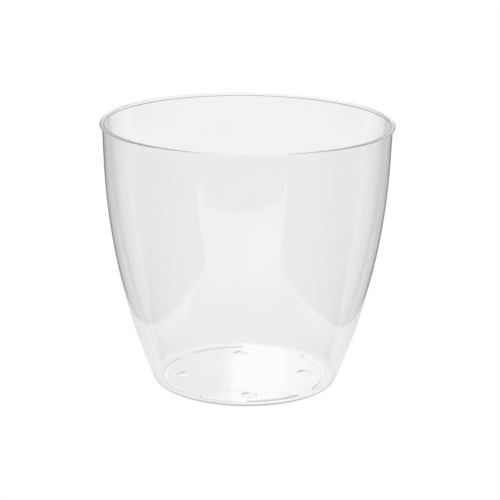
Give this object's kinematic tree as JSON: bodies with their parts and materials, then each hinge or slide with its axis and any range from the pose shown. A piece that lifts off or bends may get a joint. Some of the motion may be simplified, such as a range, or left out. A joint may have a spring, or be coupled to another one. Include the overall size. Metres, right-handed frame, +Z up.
{
  "type": "orchid pot",
  "caption": "Clear bellied plant pot with a thin beaded rim, a rounded heel and a flat floor with curved slots and round drain holes.",
  "frame": {"origin": "on the ground, at the pot's axis", "axes": "+Z up along the pot's axis; the first drain hole lies 4.5 degrees from +X towards +Y"},
  "size_m": [0.13, 0.13, 0.1183],
  "materials": {
    "clear_plastic": "clear, colourless, smooth moulded plastic"
  },
  "bodies": {
    "root": {"rim_bead": "clear_plastic", "side_wall": "clear_plastic", "heel_ring": "clear_plastic", "floor_disc": "clear_plastic"}
  },
  "joints": []
}
